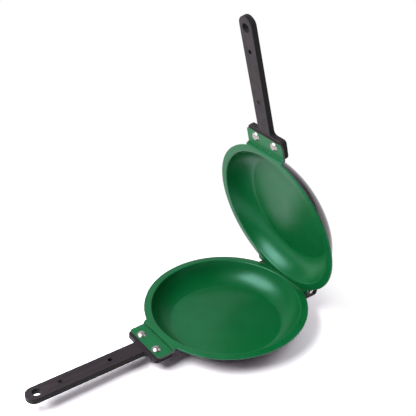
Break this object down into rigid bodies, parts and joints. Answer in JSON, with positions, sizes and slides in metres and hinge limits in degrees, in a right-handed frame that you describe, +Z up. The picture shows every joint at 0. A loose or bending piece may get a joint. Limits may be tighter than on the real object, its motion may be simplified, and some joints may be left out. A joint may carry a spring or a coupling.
{
  "type": "double-sided flip frying pan",
  "caption": "Hinged double frying pan: matching shallow round pans joined rim to rim, open at an upright angle, each with a flat riveted bar handle.",
  "frame": {"origin": "centre of the lower pan's base, on the surface it stands on", "axes": "+Z up, +X from the hinge towards the lower handle, Y along the hinge pin"},
  "size_m": [0.3789, 0.2, 0.3872],
  "materials": {
    "coated_pan": "satin ceramic coating",
    "handle": "fine moulded texture",
    "magnet": "dark plated",
    "rivet": "polished",
    "washer": "zinc plated",
    "hinge_steel": "dark plated",
    "pin": "drawn wire"
  },
  "bodies": {
    "lower": {"lower_pan": "coated_pan", "lower_handle": "handle", "lower_handle_magnets": "magnet", "lower_handle_rivets": "rivet", "lower_handle_washers": "washer", "lower_hinge_leaf": "hinge_steel", "lower_hinge_rivets": "rivet", "hinge_pin": "pin"},
    "upper": {"upper_pan": "coated_pan", "upper_handle": "handle", "upper_handle_magnets": "magnet", "upper_handle_rivets": "rivet", "upper_handle_washers": "washer", "upper_hinge_leaves": "hinge_steel", "upper_hinge_rivets": "rivet"}
  },
  "joints": [
    {"name": "pan_hinge", "type": "hinge", "parent": "lower", "child": "upper", "pos_m": [-0.095, 0, 0.032], "axis": [0, -1, 0], "range_deg": [-77.4, 27.6]}
  ]
}
